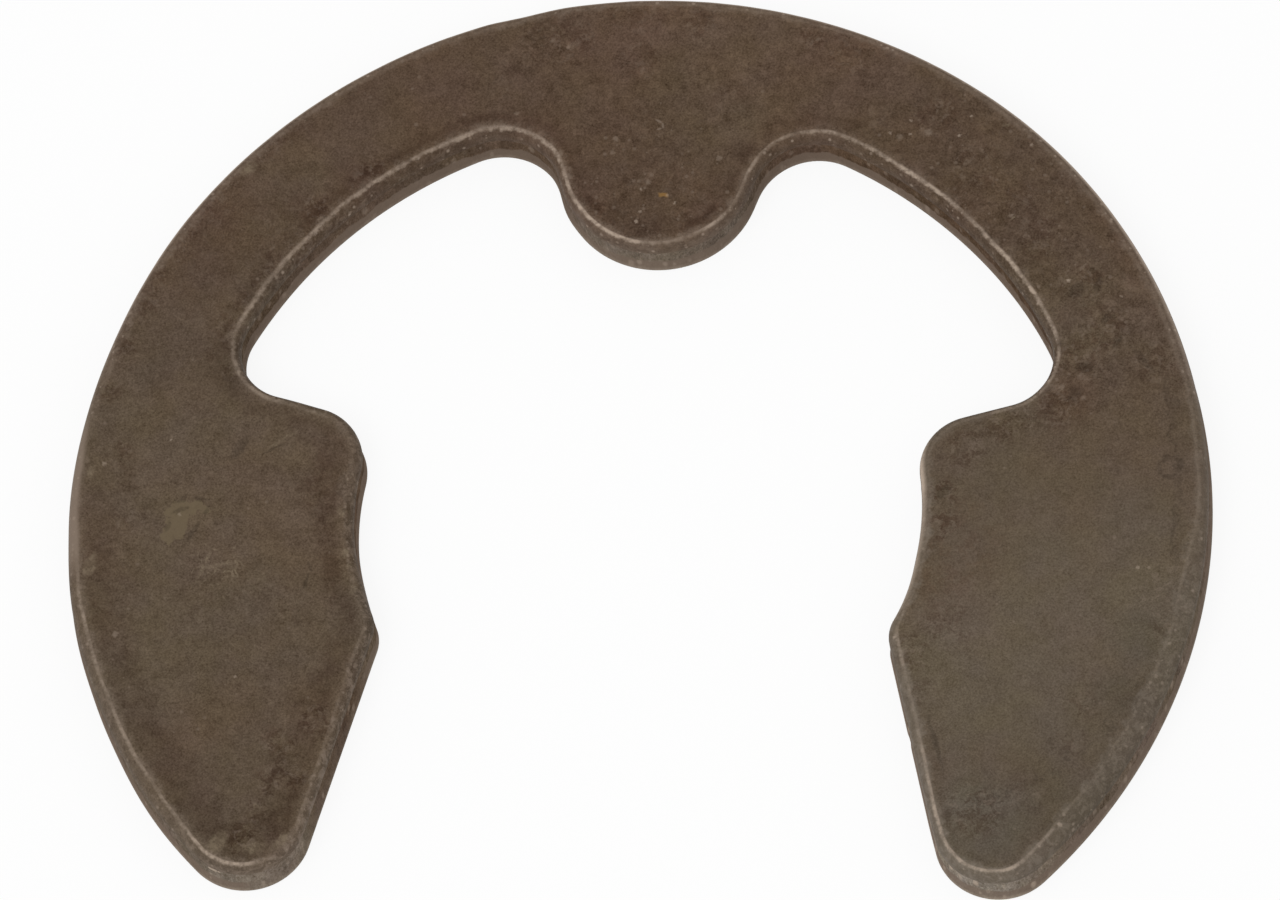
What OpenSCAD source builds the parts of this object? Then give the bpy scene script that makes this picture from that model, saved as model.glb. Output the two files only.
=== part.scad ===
// Open retaining clip for a shaft groove, stamped from one piece of spring
// steel. Millimetres. The shaft axis is the Z axis, the clip lies flat on
// z = 0, the prong points along +Y to the middle and the throat opens to -Y.

/* [Clip] */
// Diameter over the outside of the rim
outer_diameter = 23.88; // [21:0.01:28]
// Thickness of the strip the clip is stamped from
thickness = 1.07; // [0.8:0.01:1.6]
// Width of the rim between the prong and the arms
rim_width = 2.6; // [1.6:0.01:3.2]

/* [Seats] */
// Diameter across the two curved seats, off the shaft
seat_diameter = 11.8; // [11:0.01:13]
// Angle each seat runs above the shaft centre line
seat_rise = 9.5; // [6:0.5:13]
// Angle each seat runs below the shaft centre line
seat_drop = 23.5; // [19:0.5:26]
// Radius of the corner above each seat
upper_nose_radius = 1.2; // [0.8:0.05:1.5]
// Radius of the corner below each seat, which snaps past the shaft
lower_nose_radius = 0.8; // [0.6:0.05:1.1]

/* [Prong] */
// Distance from the shaft axis to the end of the prong
prong_reach = 6.03; // [5.6:0.01:6.6]
// Radius of the round end of the prong
prong_end_radius = 2.08; // [1.6:0.01:2.3]
// Radius of the hollow on each side where the prong leaves the rim
prong_root_radius = 1.33; // [1:0.01:1.6]
// Angle, from the +X axis, at which the hollow meets the rim
prong_root_angle = 65.5; // [62:0.5:67]

/* [Pockets] */
// Radius of the inside corner between the rim and each arm
pocket_corner_radius = 1.1; // [0.8:0.05:1.4]
// Angle, from the +X axis, at which the inside corner meets the rim
pocket_corner_angle = 26.5; // [24:0.5:29]

/* [Arms] */
// How much tighter the outside of each arm curves than the rim
arm_tightening = 0.34; // [0:0.01:0.8]
// Angle below the +X axis at which the arm curve takes over from the rim
arm_angle = 2; // [0:0.5:15]
// Radius of the rounded end of each arm
arm_end_radius = 1.35; // [1:0.05:1.6]
// Angle below the +X axis at which the rounded end begins
arm_end_angle = 43; // [39:0.5:46]

/* [Stamped edges] */
// Width of the rolled edge round the top face
roll_width = 0.2; // [0.1:0.01:0.3]
// Height of the rolled edge down the side
roll_height = 0.3; // [0.15:0.01:0.35]
// Height of the torn zone at the foot of the side
tear_height = 0.32; // [0.15:0.01:0.36]
// How far the torn zone leans out
tear_lean = 0.03; // [0:0.01:0.06]
// Size of the broken corner round the bottom face
corner_break = 0.04; // [0.02:0.01:0.08]

/* [Hidden] */
steel = [0.34, 0.30, 0.26];
outer_radius = outer_diameter / 2;
seat_radius = seat_diameter / 2;
pocket_radius = outer_radius - rim_width;
arm_radius = outer_radius - arm_tightening;
prong_centre = prong_reach + prong_end_radius;
// The hollow at the root is never wider than the room between the rim and
// the round end of the prong
root_rise = prong_centre * sin(prong_root_angle);
root_radius = min(prong_root_radius,
    (pow(pocket_radius, 2) - 2 * root_rise * pocket_radius
        + pow(prong_centre, 2) - pow(prong_end_radius, 2))
    / (2 * (pocket_radius - root_rise + prong_end_radius)));
// The most an arc may turn, in degrees, and run, in mm, between two corners
turn_step = 8;
run_step = 0.55;
// Steps in the rolled edge
roll_steps = 5;
// Depth of the rim band that carries the edge section, and of the joint
// between the band and the core
band_depth = 0.55;
core_inset = 0.4;

function heading(a) = [cos(a), sin(a)];

// The right half of the outline, from the end of the prong to the top of
// the rim, is a row of arcs, each [centre, radius]. A positive radius is a
// round outside corner and a negative one is a hollow. Each arc touches the
// next, or a straight side runs from one to the other.
function right_arcs() = [
    [[0, prong_centre], prong_end_radius],
    [(pocket_radius - root_radius) * heading(prong_root_angle),
        -root_radius],
    [[0, 0], -pocket_radius],
    [(pocket_radius - pocket_corner_radius) * heading(pocket_corner_angle),
        -pocket_corner_radius],
    [(seat_radius + upper_nose_radius) * heading(seat_rise),
        upper_nose_radius],
    [[0, 0], -seat_radius],
    [(seat_radius + lower_nose_radius) * heading(-seat_drop),
        lower_nose_radius],
    [arm_centre() + (arm_radius - arm_end_radius) * heading(-arm_end_angle),
        arm_end_radius],
    [arm_centre(), arm_radius],
    [[0, 0], outer_radius]
];

function arm_centre() = (outer_radius - arm_radius) * heading(-arm_angle);

// Direction of the outward normal where one arc hands over to the next
function handover(p, q) =
    let(d = q[0] - p[0])
    atan2(d[1], d[0])
        - acos(max(-1, min(1, (p[1] - q[1]) / norm(d))));

// The same direction, reached by turning left on a round corner and right
// in a hollow
function turned(from, to, left) =
    left ? from + part_turn(to - from) : from - part_turn(from - to);
function part_turn(a) =
    let(b = a - 360 * floor(a / 360)) b > 359.999 ? b - 360 : b;

// Arcs with the normals at which they start and end
function walk(arcs, i = 0, from = -90) =
    i == len(arcs) ? [] :
    let(to = turned(from, i == len(arcs) - 1 ? 90
                : handover(arcs[i], arcs[i + 1]), arcs[i][1] > 0))
    concat([[arcs[i][0], arcs[i][1], from, to]],
        walk(arcs, i + 1, to));

function steps(arc) =
    let(turn = abs(arc[3] - arc[2]), run = abs(arc[1]) * turn * PI / 180)
    max(1, ceil(turn / turn_step), ceil(run / run_step));

// Corners along the outline, each [centre, radius, normal]
function corners(walked) = [
    for (i = [0:len(walked) - 1])
        let(a = walked[i], n = steps(a),
            before = i == 0 ? a : walked[i - 1],
            meets = i > 0 && norm(at([a[0], a[1], a[2]])
                - at([before[0], before[1], before[3]])) < 0.001)
        for (k = [(meets ? 1 : 0):n])
            [a[0], a[1], a[2] + (a[3] - a[2]) * k / n]
];

// Point on the outline, or inside it by the given distance
function at(corner, inset = 0) =
    corner[0] + (corner[1] - inset) * heading(corner[2]);

function flipped(corner) =
    [[-corner[0][0], corner[0][1]], corner[1], 180 - corner[2]];

function both_sides(half) = concat(half,
    [for (i = [len(half) - 2:-1:1]) flipped(half[i])]);

function whole_outline() = both_sides(corners(walk(right_arcs())));

// Section across the edge, each [distance in from the outline, height]
function edge_section() = concat(
    [[band_depth, 0], [corner_break, 0], [0, corner_break],
     [tear_lean, tear_height]],
    [for (k = [0:roll_steps])
        let(a = 90 * k / roll_steps)
        [tear_lean + roll_width * (1 - cos(a)),
         thickness - roll_height * (1 - sin(a))]],
    [[band_depth, thickness]]
);

module edge_band(outline) {
    section = edge_section();
    n = len(outline);
    m = len(section);
    polyhedron(
        points = [
            for (c = outline) for (s = section)
                let(p = at(c, s[0])) [p[0], p[1], s[1]]
        ],
        faces = [
            for (i = [0:n - 1]) for (j = [0:m - 1])
                let(i2 = (i + 1) % n, j2 = (j + 1) % m)
                [i * m + j, i * m + j2, i2 * m + j2, i2 * m + j]
        ]
    );
}

module core(outline) {
    linear_extrude(height = thickness)
        polygon([for (c = outline) at(c, core_inset)]);
}

module e_clip() {
    outline = whole_outline();
    color(steel) union() {
        edge_band(outline);
        core(outline);
    }
}

e_clip();
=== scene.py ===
from math import acos, atan2, ceil, cos, degrees, radians, sin, sqrt
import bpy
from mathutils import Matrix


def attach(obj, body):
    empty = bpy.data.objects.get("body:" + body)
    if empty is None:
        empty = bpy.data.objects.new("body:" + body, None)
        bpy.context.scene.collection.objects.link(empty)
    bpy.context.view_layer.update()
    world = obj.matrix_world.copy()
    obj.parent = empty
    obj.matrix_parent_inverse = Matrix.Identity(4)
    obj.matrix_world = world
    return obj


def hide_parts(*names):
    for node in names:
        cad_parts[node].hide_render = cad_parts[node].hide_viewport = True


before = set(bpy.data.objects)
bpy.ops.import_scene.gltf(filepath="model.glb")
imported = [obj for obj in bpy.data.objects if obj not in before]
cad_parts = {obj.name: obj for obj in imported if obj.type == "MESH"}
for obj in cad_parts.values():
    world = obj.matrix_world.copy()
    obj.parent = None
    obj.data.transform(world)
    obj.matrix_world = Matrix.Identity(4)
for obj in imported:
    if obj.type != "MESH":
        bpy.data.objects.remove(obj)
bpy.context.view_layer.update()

from types import SimpleNamespace

import bmesh
import bpy
from mathutils import Matrix, Vector, geometry, kdtree

MM = 0.001
# Points nearer to each other than this are one
SAME_PLACE = 1e-7
scene = bpy.context.scene


def placed(name, data):
    """An object in the scene."""
    made = bpy.data.objects.new(name, data)
    scene.collection.objects.link(made)
    return made


# ------ outline
# Sizes in millimetres, the same as those of the solid. The shaft axis is Z,
# the prong points along +Y and the throat opens to -Y.
RIM_RADIUS = 11.94
RIM_WIDTH = 2.6
SEAT_RADIUS = 5.9
SEAT_RISE, SEAT_DROP = 9.5, 23.5
UPPER_NOSE, LOWER_NOSE = 1.2, 0.8
PRONG_REACH, PRONG_END = 6.03, 2.08
PRONG_ROOT, PRONG_ROOT_ANGLE = 1.33, 65.5
POCKET_RADIUS = RIM_RADIUS - RIM_WIDTH
POCKET_CORNER, POCKET_CORNER_ANGLE = 1.1, 26.5
ARM_RADIUS, ARM_ANGLE = RIM_RADIUS - 0.34, 2.0
ARM_END, ARM_END_ANGLE = 1.35, 43.0
THICKNESS = 1.07
# Space between the points along the edge, and the most it turns between two
# of them, in degrees
EDGE_STEP, TURN_STEP = 0.11, 4
# Where two arcs touch, the first point of the second one is left out
TOUCHING = 0.02
# Neighbours on each side that the traits of a point are averaged with
TRAIT_REACH = 9


def heading(angle):
    return Vector((cos(radians(angle)), sin(radians(angle))))


def right_arcs():
    """The arcs from the prong to the top of the rim: centre, radius, and
    then the traits of the edge in four pairs, for the right and the left
    side. They say how bright the rolled edge's line is, worn bright by
    rubbing and with a painted highlight, how wide it is beside the usual
    0.2 mm, how pale the sheared wall is, and how crumbly the coat is along
    the edge. A negative radius is a hollow."""
    arm_centre = (RIM_RADIUS - ARM_RADIUS) * heading(-ARM_ANGLE)
    return [
        (Vector((0, PRONG_REACH + PRONG_END)), PRONG_END,
         (0.75, 1.0), (0.7, 0.7), (0.45, 0.45), (0.3, 0.2)),
        ((POCKET_RADIUS - PRONG_ROOT) * heading(PRONG_ROOT_ANGLE), -PRONG_ROOT,
         (0.55, 0.85), (0.95, 0.9), (0.05, 0.1), (0.4, 0.4)),
        (Vector((0, 0)), -POCKET_RADIUS,
         (0.9, 0.7), (0.95, 1.0), (0.0, 0.1), (0.6, 0.7)),
        ((POCKET_RADIUS - POCKET_CORNER) * heading(POCKET_CORNER_ANGLE),
         -POCKET_CORNER, (0.5, 0.5), (0.7, 0.8), (0.1, 0.15), (0.4, 0.3)),
        ((SEAT_RADIUS + UPPER_NOSE) * heading(SEAT_RISE), UPPER_NOSE,
         (0.1, 0.1), (1.0, 1.1), (0.3, 0.15), (0.3, 0.8)),
        (Vector((0, 0)), -SEAT_RADIUS,
         (0.1, 0.05), (1.0, 1.1), (0.5, 0.05), (0.5, 1.0)),
        ((SEAT_RADIUS + LOWER_NOSE) * heading(-SEAT_DROP), LOWER_NOSE,
         (0.3, 0.1), (1.0, 1.0), (0.5, 0.2), (0.5, 1.0)),
        (arm_centre + (ARM_RADIUS - ARM_END) * heading(-ARM_END_ANGLE), ARM_END,
         (0.8, 0.8), (0.85, 0.65), (1.0, 0.67), (0.3, 0.5)),
        (arm_centre, ARM_RADIUS,
         (0.1, 0.5), (1.9, 1.2), (0.32, 0.36), (0.7, 0.3)),
        (Vector((0, 0)), RIM_RADIUS,
         (0.1, 0.1), (1.0, 1.0), (0.35, 0.4), (0.2, 0.2)),
    ]


def handover(here, there):
    """Outward direction at which one arc passes to the next, in degrees."""
    gap = there[0] - here[0]
    ratio = max(-1.0, min(1.0, (here[1] - there[1]) / gap.length))
    return degrees(atan2(gap.y, gap.x) - acos(ratio))


def half_edge(side):
    """Points, outward directions and edge traits from the prong to the top
    of the rim. Side is 0 for the right half and 1 for the left."""
    arcs, start, row = right_arcs(), -90.0, []
    for i, (centre, radius, *pairs) in enumerate(arcs):
        stop = 90.0 if i == len(arcs) - 1 else handover(arcs[i], arcs[i + 1])
        turn = (stop - start) % 360 if radius > 0 else -((start - stop) % 360)
        turn = 0.0 if abs(turn) > 359.99 else turn
        traits = Vector([pair[side] for pair in pairs])
        steps = max(2, ceil(abs(radians(turn) * radius) / EDGE_STEP),
                    ceil(abs(turn) / TURN_STEP))
        for k in range(steps + 1):
            out = heading(start + turn * k / steps)
            point = centre + radius * out
            if row:
                last, _, before = row[-1]
                along = point - last
                if along.length < TOUCHING:
                    continue
                # A straight side from one arc to the next
                pieces = ceil(along.length / EDGE_STEP)
                if along.length > 1.5 * EDGE_STEP:
                    row += [(last + along * j / pieces, out.copy(),
                             before.lerp(traits, j / pieces))
                            for j in range(1, pieces)]
            row.append((point, out, traits))
        start += turn
    return row


def outline():
    """The closed edge, with its traits smoothed along it."""
    right, left = half_edge(0), half_edge(1)
    row = right + [(Vector((-p.x, p.y)), Vector((-n.x, n.y)), t)
                   for p, n, t in left[-2:0:-1]]
    smooth = []
    for i, (p, out, _) in enumerate(row):
        near = [row[(i + k) % len(row)][2]
                for k in range(-TRAIT_REACH, TRAIT_REACH + 1)]
        smooth.append((p, out, sum(near, Vector([0] * 4)) / len(near)))
    return smooth


# ------ plan of a face
# Rings follow the edge at these distances in from it, and loose points fill
# the middle, no nearer to the last ring than a share of their own step.
RINGS = [
    0, 0.006, 0.018, 0.036, 0.06, 0.09, 0.125, 0.165, 0.21, 0.26, 0.32, 0.39,
    0.47]
FILL_STEP, FILL_GAP = 0.3, 0.6
# Small knocks and swells of the edge: x, y, reach and depth
KNOCKS = [
    (5.85, -4.75, 0.2, 0.02), (-3.0, 11.5, 0.9, 0.03),
    (-11.3, 3.6, 4.0, 0.055), (6.0, 7.0, 4.2, -0.05),
    (-11.8, -2.4, 1.8, -0.035), (-9.8, -6.8, 2.0, -0.035),
    (7.2, -7.8, 1.5, 0.03), (-2.0, 7.5, 0.8, -0.04), (5.6, -1.9, 1.1, 0.035),
    (-5.6, -1.8, 1.3, -0.03), (-6.8, 2.3, 1.6, -0.025)]


def knock(p):
    """How far the edge is pushed in at a point."""
    return sum(depth * max(0.0, 1 - ((p.x - x) ** 2 + (p.y - y) ** 2)
                           / reach ** 2) ** 2 for x, y, reach, depth in KNOCKS)


def face_plan():
    """Flat mesh of one face. Its points keep the way in from the edge and
    the traits of the nearest part of the edge."""
    row = outline()
    count = len(row)
    points, ways, traits = [], [], []
    for depth in RINGS:
        fade = 1 - depth / RINGS[-1]
        for p, out, trait in row:
            points.append(p - (depth + knock(p) * fade) * out)
            ways.append(-out * fade)
            traits.append(trait)
    faces = []
    for r in range(len(RINGS) - 1):
        for i in range(count):
            j = (i + 1) % count
            faces.append((r * count + i, r * count + j,
                          (r + 1) * count + j, (r + 1) * count + i))
    inner = points[-count:]
    tree = kdtree.KDTree(count)
    for i, p in enumerate(inner):
        tree.insert(p.to_3d(), i)
    tree.balance()
    loose = []
    for a in range(ceil(2 * RIM_RADIUS / (FILL_STEP * sqrt(3) / 2))):
        for b in range(ceil(2 * RIM_RADIUS / FILL_STEP) + 1):
            p = Vector((-RIM_RADIUS + (b + 0.5 * (a % 2)) * FILL_STEP,
                        -RIM_RADIUS + a * FILL_STEP * sqrt(3) / 2))
            near, i, far = tree.find(p.to_3d())
            inside = (p - near.to_2d()).dot(row[i][1]) < 0
            if inside and far > FILL_GAP * FILL_STEP:
                loose.append((p, row[i][2]))
    ring = list(range(count))
    made = geometry.delaunay_2d_cdt(
        inner + [p for p, _ in loose], [(i, (i + 1) % count) for i in ring],
        [ring], 1, SAME_PLACE)
    places = list(range(len(points) - count, len(points)))
    for p, trait in loose:
        places.append(len(points))
        points.append(p)
        ways.append(Vector((0, 0)))
        traits.append(trait)
    for face in made[2]:
        faces.append(tuple(places[made[3][v][0]] for v in face))
    mesh = bpy.data.meshes.new("clip plan")
    mesh.from_pydata([(p.x * MM, p.y * MM, 0) for p in points], [], faces)
    way_in = mesh.attributes.new("way_in", "FLOAT_VECTOR", "POINT")
    for item, way in zip(way_in.data, ways):
        item.vector = (way.x, way.y, 0)
    for k, name in enumerate(("rub_and_highlight", "roll_share", "wall_pale", "crumbly")):
        layer = mesh.attributes.new(name, "FLOAT", "POINT")
        for item, trait in zip(layer.data, traits):
            item.value = trait[k]
    mesh.update()
    return mesh


# ------ node helpers
NUMBER = "NodeSocketFloat"


def put(tree, kind, *ins, **settings):
    """Adds a node. Inputs are sockets to link, plain values, or None."""
    node = tree.nodes.new(kind)
    named = settings.pop("named", {})
    for key, value in settings.items():
        setattr(node, key, value)
    for key, value in list(enumerate(ins)) + list(named.items()):
        if isinstance(value, bpy.types.NodeSocket):
            tree.links.new(value, node.inputs[key])
        elif value is not None:
            node.inputs[key].default_value = value
    return node


def maths(tree, operation, a, b=None, clamp=False):
    """One sum of two numbers."""
    return put(tree, "ShaderNodeMath", a, b, operation=operation,
               use_clamp=clamp).outputs[0]


def plus(tree, a, b):
    return maths(tree, "ADD", a, b)


def minus(tree, a, b):
    return maths(tree, "SUBTRACT", a, b)


def times(tree, first, *others):
    """The product of all the values."""
    for other in others:
        first = maths(tree, "MULTIPLY", first, other)
    return first


def step(tree, value, low, high, low_out=0.0, high_out=1.0):
    """Eases from one level to another between two limits."""
    return put(tree, "ShaderNodeMapRange", value, low, high, low_out, high_out,
               interpolation_type="SMOOTHSTEP").outputs[0]


def blend(tree, share, a, b):
    """From one colour to another."""
    return put(tree, "ShaderNodeMix", share, named={6: a, 7: b},
               data_type="RGBA").outputs[2]


def between(tree, share, a, b):
    """From one number to another."""
    return put(tree, "ShaderNodeMix", share, named={2: a, 3: b}).outputs[0]


def vector(tree, operation, a, b=None):
    """One sum of two vectors or colours."""
    node = put(tree, "ShaderNodeVectorMath", a, b, operation=operation)
    return node.outputs["Value" if operation in ("LENGTH", "DISTANCE")
                        else "Vector"]


def scaled(tree, value, share):
    """A vector or colour times a number."""
    return put(tree, "ShaderNodeVectorMath", value, operation="SCALE",
               named={"Scale": share}).outputs["Vector"]


def cloud(tree, place, scale, detail=3.0, rough=0.5, bend=0.0):
    """Noise with so many lumps to a millimetre."""
    return put(tree, "ShaderNodeTexNoise", place, named={
        "Scale": scale, "Detail": detail, "Roughness": rough,
        "Distortion": bend}).outputs[0]


def crumble(tree, place, scale, low, high):
    """Crumbs with ragged edges, of so many to a millimetre."""
    return step(tree, cloud(tree, place, scale, 6.0, 0.74, 0.5), low, high)


def start_group(name, kind, ins, outs):
    """A group with its sockets: label, kind and, for inputs, the default."""
    tree = bpy.data.node_groups.new(name, kind)
    for label, socket, default in ins:
        made = tree.interface.new_socket(name=label, in_out="INPUT",
                                         socket_type=socket)
        if default is not None:
            made.default_value = default
    for label, socket in outs:
        tree.interface.new_socket(name=label, in_out="OUTPUT",
                                  socket_type=socket)
    return tree, tree.nodes.new("NodeGroupInput"), tree.nodes.new("NodeGroupOutput")


def use(tree, group, **named):
    """Adds a shader group. Its inputs are named in small letters."""
    named = {label.capitalize(): value for label, value in named.items()}
    return put(tree, "ShaderNodeGroup", named=named, node_tree=group)


# ------ stamped clip
# Sizes of the edge's section, in millimetres
SECTION = {"Thickness": THICKNESS, "Roll Width": 0.2, "Roll Height": 0.3,
           "Tear Height": 0.32, "Tear Lean": 0.03, "Corner Break": 0.04,
           "Unevenness": 0.02}
# Rows of faces in the torn foot of the wall, and again in the wall above it
WALL_ROWS = 6
# Edges that turn by more than this many degrees are drawn crisp
CRISP_TURN = 38
# The roll's width wanders along the edge, by lumps of so many to a millimetre
ROLL_WANDER, ROLL_LEAST, ROLL_SPREAD = 0.9, 0.72, 0.56


def stamping_tree():
    """Turns the flat plan into the stamped clip: a top face whose edge rolls
    down, a bottom face with a broken corner, and between them the sheared
    wall with its torn foot."""
    tree, ins, outs = start_group(
        "stamp from plan", "GeometryNodeTree",
        [("Plan", "NodeSocketGeometry", None),
         *[(label, NUMBER, length * MM) for label, length in SECTION.items()],
         ("Face Material", "NodeSocketMaterial", None),
         ("Wall Material", "NodeSocketMaterial", None)],
        [("Clip", "NodeSocketGeometry")])
    tree.is_modifier = True
    size = {s.name: s for s in ins.outputs}

    def lift(z):
        return put(tree, "ShaderNodeCombineXYZ", 0.0, 0.0, z).outputs[0]

    def trait(name, kind="FLOAT"):
        return put(tree, "GeometryNodeInputNamedAttribute", name,
                   data_type=kind).outputs[0]

    def kept(shape, name, value):
        return put(tree, "GeometryNodeStoreNamedAttribute", shape,
                   named={"Name": name, "Value": value},
                   data_type="FLOAT", domain="POINT").outputs[0]

    def moved(shape, offset):
        return put(tree, "GeometryNodeSetPosition", shape,
                   named={"Offset": offset}).outputs[0]

    def joined(*shapes):
        node = put(tree, "GeometryNodeJoinGeometry")
        for shape in shapes:
            tree.links.new(shape, node.inputs[0])
        return node.outputs[0]

    def coated(shape, material):
        return put(tree, "GeometryNodeSetMaterial", shape,
                   named={"Material": size[material]}).outputs[0]

    way_in = trait("way_in", "FLOAT_VECTOR")
    here = put(tree, "GeometryNodeInputPosition").outputs[0]
    place = scaled(tree, here, 1 / MM)

    # The open edges of the plan, and how far each point lies from them
    sides = put(tree, "GeometryNodeInputMeshEdgeNeighbors").outputs[0]
    is_open = put(tree, "FunctionNodeCompare", named={2: sides, 3: 1},
                  data_type="INT", operation="EQUAL").outputs[0]
    edge = put(tree, "GeometryNodeSeparateGeometry", size["Plan"], is_open,
               domain="EDGE").outputs[0]
    far = put(tree, "GeometryNodeProximity", edge,
              target_element="EDGES").outputs["Distance"]
    plan = kept(size["Plan"], "edge_distance", times(tree, far, 1 / MM))
    # A hair is taken off, so that the edge itself counts as none away
    depth = times(tree, MM, maths(
        tree, "MAXIMUM", 0.0, minus(tree, trait("edge_distance"), 0.001)))
    wander = plus(tree, ROLL_LEAST, times(
        tree, cloud(tree, place, ROLL_WANDER, 2.0), ROLL_SPREAD))
    plan = kept(plan, "roll_width", times(
        tree, size["Roll Width"], trait("roll_share"), wander, 1 / MM))

    # Top face: a quarter of an ellipse down at the edge
    slack = minus(tree, 1.0, maths(tree, "DIVIDE", depth, times(
        tree, trait("roll_width"), MM), clamp=True))
    dip = minus(tree, 1.0, maths(
        tree, "SQRT", minus(tree, 1.0, times(tree, slack, slack))))
    height = minus(tree, size["Thickness"],
                   times(tree, size["Roll Height"], dip))
    top = moved(plan, vector(tree, "ADD", lift(height),
                             scaled(tree, way_in, size["Tear Lean"])))

    # Bottom face: a small broken corner
    rise = maths(tree, "MAXIMUM", 0.0, minus(tree, size["Corner Break"], depth))
    bottom = moved(put(tree, "GeometryNodeFlipFaces", plan).outputs[0],
                   lift(rise))

    # Wall: drawn straight up from the bottom corner, row by row, and then
    # leant in over the torn foot and made uneven
    wall = moved(edge, lift(size["Corner Break"]))
    shoulder = minus(tree, size["Thickness"], size["Roll Height"])
    torn = minus(tree, size["Tear Height"], size["Corner Break"])
    upper = True
    for rise in (torn, minus(tree, shoulder, size["Tear Height"])):
        offset = lift(maths(tree, "DIVIDE", rise, float(WALL_ROWS)))
        for _ in range(WALL_ROWS):
            drawn = put(tree, "GeometryNodeExtrudeMesh", wall, upper,
                        offset, 1.0, mode="EDGES")
            wall, upper = drawn.outputs["Mesh"], drawn.outputs["Top"]
    z = put(tree, "ShaderNodeSeparateXYZ", here).outputs[2]
    climb = minus(tree, z, size["Corner Break"])
    lean = times(tree, size["Tear Lean"],
                 maths(tree, "DIVIDE", climb, torn, clamp=True))
    # From none at the bottom corner to full where the roll begins. Both ends
    # stay in line, and the torn foot is the most uneven.
    level = maths(tree, "DIVIDE", climb,
                  minus(tree, shoulder, size["Corner Break"]), clamp=True)
    belly = times(tree, level, minus(tree, 1.0, level), 4.0)
    rough = minus(tree, cloud(tree, place, 5.0, 4.0, 0.6), 0.5)
    uneven = times(tree, size["Unevenness"], rough, belly,
                   step(tree, level, 0.3, 0.6, 2.0, 0.3))
    wall = moved(wall, scaled(tree, way_in, plus(tree, lean, uneven)))

    closed = put(tree, "GeometryNodeMergeByDistance", joined(
        coated(wall, "Wall Material"),
        coated(joined(bottom, top), "Face Material")),
        named={"Distance": SAME_PLACE}).outputs[0]
    closed = put(tree, "GeometryNodeSetShadeSmooth", closed, True, True,
                 domain="FACE").outputs[0]
    turn = put(tree, "GeometryNodeInputMeshEdgeAngle").outputs[0]
    crisp = put(tree, "FunctionNodeCompare", turn, radians(CRISP_TURN),
                data_type="FLOAT", operation="GREATER_THAN").outputs[0]
    closed = put(tree, "GeometryNodeSetShadeSmooth", closed, crisp, False,
                 domain="EDGE").outputs[0]
    tree.links.new(put(tree, "GeometryNodeRealizeInstances", closed).outputs[0],
                   outs.inputs[0])
    return tree


def stamped_clip(face_material, wall_material):
    """The clip's final mesh, pressed from the plan."""
    plan = placed("clip_plan", face_plan())
    plan.data.materials.append(face_material)
    press = plan.modifiers.new("stamp", "NODES")
    press.node_group = stamping_tree()
    materials = {"Face Material": face_material, "Wall Material": wall_material}
    for socket in press.node_group.interface.items_tree:
        if socket.name in materials:
            press[socket.identifier] = materials[socket.name]
    graph = bpy.context.evaluated_depsgraph_get()
    mesh = bpy.data.meshes.new_from_object(
        plan.evaluated_get(graph), preserve_all_data_layers=True,
        depsgraph=graph)
    shape = bmesh.new()
    shape.from_mesh(mesh)
    bmesh.ops.recalc_face_normals(shape, faces=shape.faces)
    shape.to_mesh(mesh)
    shape.free()
    mesh.name = "stamped_clip"
    clip = placed("stamped_clip", mesh)
    bpy.data.objects.remove(plan)
    return clip


# ------ finishes
def colour(red, green, blue):
    """A finish's colour from screen levels of 0 to 255."""
    return [((level / 255 + 0.055) / 1.055) ** 2.4
            for level in (red, green, blue)] + [1.0]


WARM_COAT = colour(84.5, 68, 54.5)
OLIVE_COAT = colour(88, 74.5, 60.5)
GREY_COAT = colour(94, 82, 68.5)
DARK_WALL = colour(88, 70, 55)
PALE_WALL = colour(136, 125, 113)
# Pale worn metal; the same colour paints highlights and glints
PALE_WEAR_AND_HIGHLIGHT = colour(190, 172, 155)
CRYSTAL = colour(130, 115, 102)
COOL_COAT = colour(123, 113, 102)
TORN = colour(116, 101, 89)
FOOT = colour(160, 147, 132)
OLIVE_PATCH = colour(101, 88, 69)
THREAD = colour(128, 114, 95)
BRASS = colour(140, 106, 58)


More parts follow.
